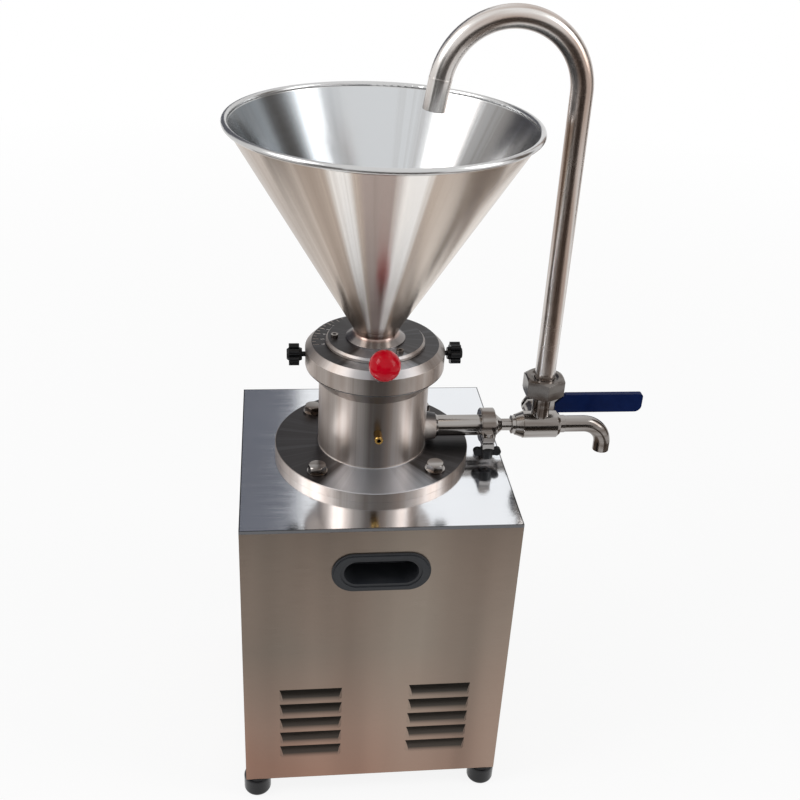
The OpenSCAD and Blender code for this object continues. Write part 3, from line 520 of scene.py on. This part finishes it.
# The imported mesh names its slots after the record, with a number added where a name was taken
for node_name, node in nodes.items():
    for holder in node.material_slots:
        slot_name = holder.material.name.split(".")[0]
        holder.material = NODE_FINISHES.get(node_name, FINISHES[slot_name])


def dial_numbers():
    """Plain numerals beside the long marks of the disc's scale."""
    ink = moulded(
        "dial_mark", colour=(0.55, 0.54, 0.52), lift=(0.62, 0.61, 0.60), rough=0.4, grain=0.000004,
    )
    for step in range(DIAL_COUNT):
        angle = math.radians(DIAL_START + DIAL_STEP * step)
        text = bpy.data.curves.new(f"dial_number_{step}", "FONT")
        text.body = str(step)
        text.size = DIAL_SIZE
        text.extrude = DIAL_RISE
        text.align_x = "CENTER"
        text.align_y = "CENTER"
        mark = bpy.data.objects.new(f"dial_number_{step}", text)
        bpy.context.scene.collection.objects.link(mark)
        mark.matrix_world = (
            Matrix.Translation((MILL_AXIS[0], MILL_AXIS[1], DISC_TOP))
            @ Matrix.Rotation(angle, 4, "Z")
            @ Matrix.Translation((DISC_RADIUS - DIAL_INSET, 0, DIAL_RISE))
            @ Matrix.Rotation(math.radians(-90), 4, "Z")
        )
        text.materials.append(ink)
        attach(mark, "head")


def rectangle(name, width, height):
    """A flat rectangle about its own origin, as a new object in the scene."""
    half_w, half_h = width / 2, height / 2
    corners = [(-half_w, -half_h, 0), (half_w, -half_h, 0), (half_w, half_h, 0), (-half_w, half_h, 0)]
    mesh = bpy.data.meshes.new(name)
    mesh.from_pydata(corners, [], [(0, 1, 2, 3)])
    panel = bpy.data.objects.new(name, mesh)
    bpy.context.scene.collection.objects.link(panel)
    return panel


def point_at(thing, at, aim, front):
    """Place a lamp or card with its front axis towards the aim, and hide it from the camera."""
    thing.location = at
    thing.rotation_euler = (Vector(aim) - Vector(at)).to_track_quat(front, "Y").to_euler()
    thing.visible_camera = False


def seen_rays(tree):
    """1 for rays that show a surface: camera, glossy and transmission rays."""
    path = tree.nodes.new("ShaderNodeLightPath")
    seen = path.outputs["Is Camera Ray"]
    for ray in ("Is Glossy Ray", "Is Transmission Ray"):
        either = tree.nodes.new("ShaderNodeMath")
        either.operation = "MAXIMUM"
        tree.links.new(seen, either.inputs[0])
        tree.links.new(path.outputs[ray], either.inputs[1])
        seen = either.outputs[0]
    return seen


def floor():
    """Pale floor: nearly white where it is seen, so that only the shadow shows, and white far out."""
    ground = rectangle("floor", 2 * FLOOR_REACH, 2 * FLOOR_REACH)
    s = Shader("floor_paint")
    s.put("Base Color", (0.85, 0.85, 0.85, 1.0))
    s.put("Roughness", 0.9)
    distance = s.vector("LENGTH", s.place)
    white = s.spread(distance, FLOOR_FADE_START, FLOOR_FADE_END, FLOOR_NEAR_WHITE, 1.0)
    glow = s.add("ShaderNodeEmission")
    mix = s.add("ShaderNodeMixShader")
    s.join(s.math("MULTIPLY", seen_rays(s.tree), white), mix.inputs[0])
    s.join(s.main.outputs[0], mix.inputs[1])
    s.join(glow.outputs[0], mix.inputs[2])
    s.join(mix.outputs[0], s.tree.nodes["Material Output"].inputs["Surface"])
    ground.data.materials.append(s.material)


def world():
    """White to the camera and in reflections, a softer white as fill light."""
    space = bpy.data.worlds.new("studio")
    bpy.context.scene.world = space
    space.use_nodes = True
    tree = space.node_tree
    fill = tree.nodes["Background"]
    fill.inputs["Color"].default_value = (1, 1, 1, 1)
    fill.inputs["Strength"].default_value = FILL_STRENGTH
    white = tree.nodes.new("ShaderNodeBackground")
    white.inputs["Color"].default_value = (1, 1, 1, 1)
    mix = tree.nodes.new("ShaderNodeMixShader")
    tree.links.new(seen_rays(tree), mix.inputs[0])
    tree.links.new(fill.outputs[0], mix.inputs[1])
    tree.links.new(white.outputs[0], mix.inputs[2])
    tree.links.new(mix.outputs[0], tree.nodes["World Output"].inputs["Surface"])


def lamp(name, at, size, power):
    """A soft rectangular lamp that faces the mill."""
    light = bpy.data.lights.new(name, "AREA")
    light.shape = "RECTANGLE"
    light.size, light.size_y = size
    light.energy = power
    holder = bpy.data.objects.new(name, light)
    point_at(holder, at, CENTRE, "-Z")
    bpy.context.scene.collection.objects.link(holder)


def card(name, at, aim, size, colour):
    """A studio card that only reflections see, to give the bright metal something to show."""
    panel = rectangle(name, *size)
    point_at(panel, at, aim, "Z")
    panel.visible_diffuse = False
    panel.visible_shadow = False
    material = bpy.data.materials.new(name)
    material.use_nodes = True
    tree = material.node_tree
    glow = tree.nodes.new("ShaderNodeEmission")
    glow.inputs["Color"].default_value = (*colour, 1)
    tree.links.new(glow.outputs[0], tree.nodes["Material Output"].inputs["Surface"])
    panel.data.materials.append(material)


def floor_card(name, x, y, size, colour):
    """A card that lies just above the floor and faces up."""
    card(name, at=(x, y, CARD_LIFT), aim=(x, y, 1.0), size=size, colour=colour)


def camera():
    """The photograph's view: a camera turned by yaw, pitch and roll."""
    yaw, pitch, roll = (math.radians(a) for a in (CAMERA_YAW, CAMERA_PITCH, CAMERA_ROLL))
    ahead = Vector((math.sin(yaw) * math.cos(pitch), math.cos(yaw) * math.cos(pitch), -math.sin(pitch)))
    level = Vector((math.cos(yaw), -math.sin(yaw), 0))
    upright = level.cross(ahead)
    right = math.cos(roll) * level + math.sin(roll) * upright
    up = -math.sin(roll) * level + math.cos(roll) * upright
    lens = bpy.data.cameras.new("camera")
    lens.sensor_width = CAMERA_SENSOR
    lens.lens = CAMERA_LENS
    view = bpy.data.objects.new("camera", lens)
    turn = Matrix((right, up, -ahead)).transposed().to_4x4()
    view.matrix_world = Matrix.Translation(CAMERA_AT) @ turn
    bpy.context.scene.collection.objects.link(view)
    bpy.context.scene.camera = view


# Numerals, studio and camera: places and sizes in metres, power in watts
dial_numbers()
floor()
world()
lamp("key", at=(-2.6, -0.6, 2.6), size=(1.6, 1.6), power=42)
lamp("side", at=(2.0, -0.8, 1.8), size=(0.8, 1.8), power=18)
card("front_card", at=(0.0, -2.3, 0.5), aim=CENTRE, size=(2.8, 1.0), colour=(0.045, 0.04, 0.037))
card("back_card", at=(-1.62, 2.6, 1.9), aim=(-1.62, 0.0, 1.0), size=(3.0, 2.4), colour=(0.155, 0.16, 0.185))
card("left_flag", at=(-1.75, -1.65, 0.75), aim=CENTRE, size=(1.2, 1.5), colour=(0.06, 0.055, 0.05))
card("right_flag", at=(1.9, 0.4, 0.9), aim=CENTRE, size=(0.8, 2.6), colour=(0.14, 0.11, 0.09))
floor_card("floor_front", x=0.0, y=-1.6, size=(1.5, 1.5), colour=(0.09, 0.075, 0.065))
floor_card("floor_left", x=-1.15, y=-0.75, size=(0.7, 2.6), colour=(0.13, 0.115, 0.10))
floor_card("floor_right", x=0.75, y=-0.75, size=(0.5, 2.6), colour=(0.17, 0.14, 0.12))
camera()

bpy.context.scene.view_settings.view_transform = "Standard"
